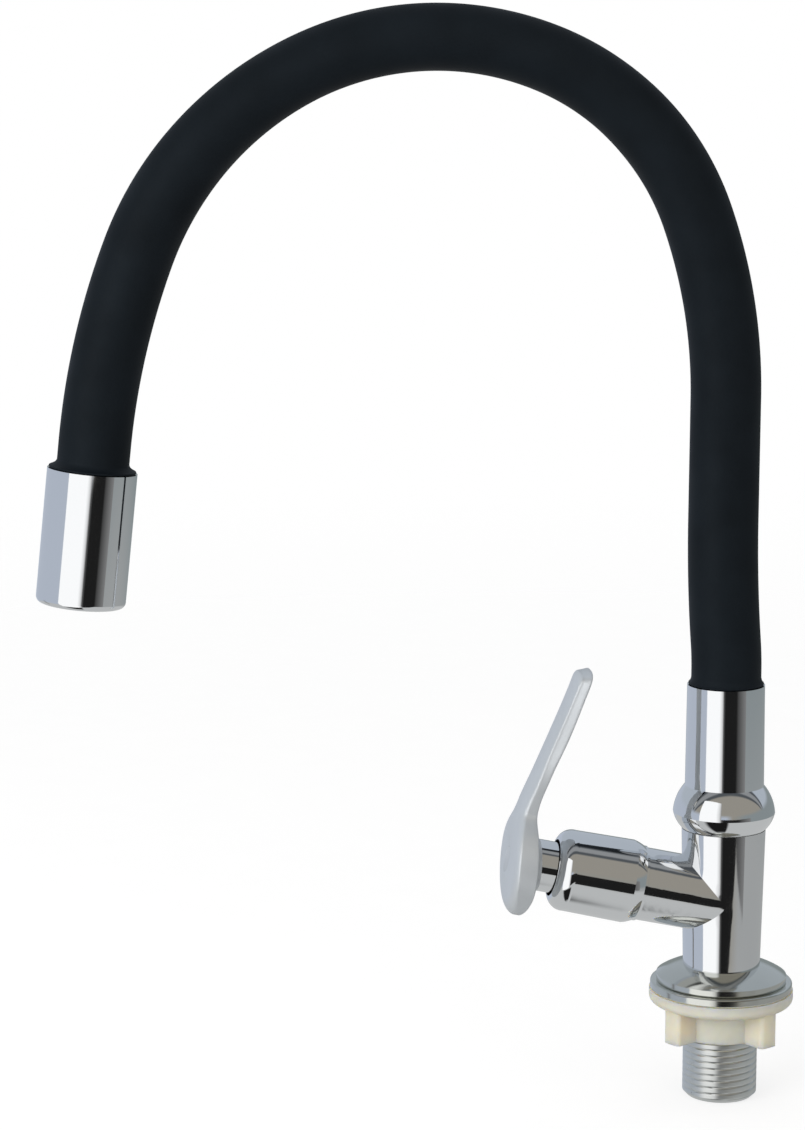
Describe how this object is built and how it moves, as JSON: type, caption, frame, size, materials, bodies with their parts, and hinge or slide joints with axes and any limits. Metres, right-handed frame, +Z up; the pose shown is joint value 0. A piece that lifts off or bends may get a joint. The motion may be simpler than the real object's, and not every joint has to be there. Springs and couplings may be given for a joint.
{
  "type": "flexible spout tap",
  "caption": "Deck-mounted single-lever tap with a tilted valve branch, a swivelling bendable rubber-covered spout, a metal outlet, and a threaded shank with clamp washer and back nut.",
  "frame": {"origin": "centre of the base plate's underside, where it rests on the worktop, on the column's axis", "axes": "+Z up along the column; the valve branch and the resting spout reach towards -X; Y across"},
  "size_m": [0.2107, 0.0406, 0.3057],
  "materials": {
    "chrome": "mirror polished plating",
    "polished_steel": "polished pressed steel",
    "shank_plating": "dull nickel plated thread",
    "lever_finish": "satin chrome",
    "black_rubber": "smooth matt silicone rubber",
    "seal_rubber": "moulded sealing rubber",
    "gasket_rubber": "soft grey sealing rubber",
    "nut_plastic": "moulded cream plastic",
    "white_plastic": "moulded white plastic",
    "tube_plastic": "extruded natural tube",
    "grey_plastic": "moulded grey plastic",
    "brass": "machined",
    "arm_metal": "drawn tube",
    "fixing_steel": "machined and passivated",
    "ceramic": "lapped ceramic",
    "screen_steel": "woven mesh"
  },
  "bodies": {
    "tap_body": {"tee_body": "chrome", "threaded_shank": "shank_plating", "shank_seal": "seal_rubber", "base_plate": "polished_steel", "base_gasket": "gasket_rubber", "bonnet": "chrome", "headwork_body": "brass", "headwork_o_ring": "seal_rubber", "ceramic_disc_fixed": "ceramic", "seat_washer": "seal_rubber", "glide_ring": "white_plastic"},
    "clamp_washer": {"clamp_washer": "polished_steel"},
    "back_nut": {"back_nut": "nut_plastic"},
    "lever": {"lever_handle": "lever_finish", "handle_screw": "fixing_steel", "index_cap": "grey_plastic", "spindle": "brass", "spindle_o_rings": "seal_rubber", "spindle_clip": "fixing_steel", "thrust_washer": "white_plastic", "ceramic_disc_turning": "ceramic"},
    "spout_base": {"swivel_collar": "chrome", "swivel_spigot": "brass", "spigot_o_rings": "seal_rubber", "snap_ring": "fixing_steel", "hose_sleeve": "black_rubber", "water_tube": "tube_plastic", "arm_root": "arm_metal", "rise_pins": "fixing_steel"},
    "neck_rise": {"arm_rise": "arm_metal", "crown_pins": "fixing_steel"},
    "neck_crown": {"arm_crown": "arm_metal", "fall_pins": "fixing_steel"},
    "neck_fall": {"arm_fall": "arm_metal", "side_pins": "fixing_steel"},
    "outlet": {"arm_tip": "arm_metal", "outlet_fitting": "brass", "outlet_sleeve": "chrome", "aerator_housing": "white_plastic", "aerator_seal": "seal_rubber", "aerator_screens": "screen_steel", "flow_straightener": "white_plastic"}
  },
  "joints": [
    {"name": "spout_swivel", "type": "hinge", "parent": "tap_body", "child": "spout_base", "pos_m": [0, 0, 0.0445], "axis": [0, 0, 1], "continuous": true},
    {"name": "lever_turn", "type": "hinge", "parent": "tap_body", "child": "lever", "pos_m": [0, 0, 0.02375], "axis": [-0.9781, 0, 0.2079], "range_deg": [0, 90]},
    {"name": "rise_bend", "type": "hinge", "parent": "spout_base", "child": "neck_rise", "pos_m": [-0.00154, 0, 0.15016], "axis": [0, 1, 0], "range_deg": [-10, 22], "deforming": ["hose_sleeve", "water_tube"]},
    {"name": "crown_bend", "type": "hinge", "parent": "neck_rise", "child": "neck_crown", "pos_m": [-0.02554, 0, 0.23957], "axis": [0, 1, 0], "range_deg": [-15, 25], "deforming": ["hose_sleeve", "water_tube"]},
    {"name": "fall_bend", "type": "hinge", "parent": "neck_crown", "child": "neck_fall", "pos_m": [-0.10394, 0, 0.25956], "axis": [0, 1, 0], "range_deg": [-12, 25], "deforming": ["hose_sleeve", "water_tube"]},
    {"name": "side_bend", "type": "hinge", "parent": "neck_fall", "child": "outlet", "pos_m": [-0.16101, 0, 0.2074], "axis": [0.9278, 0, -0.3732], "range_deg": [-25, 25], "deforming": ["hose_sleeve", "water_tube"]},
    {"name": "nut_run", "type": "slide", "parent": "tap_body", "child": "clamp_washer", "axis": [0, 0, -1], "range_m": [0, 0.0145]},
    {"name": "nut_turn", "type": "hinge", "parent": "clamp_washer", "child": "back_nut", "pos_m": [0, 0, -0.0024], "axis": [0, 0, -1], "range_deg": [0, 2880]}
  ],
  "couplings": [
    {"joint": "nut_turn", "follows": "nut_run", "rad_per_m": 3463.7}
  ]
}
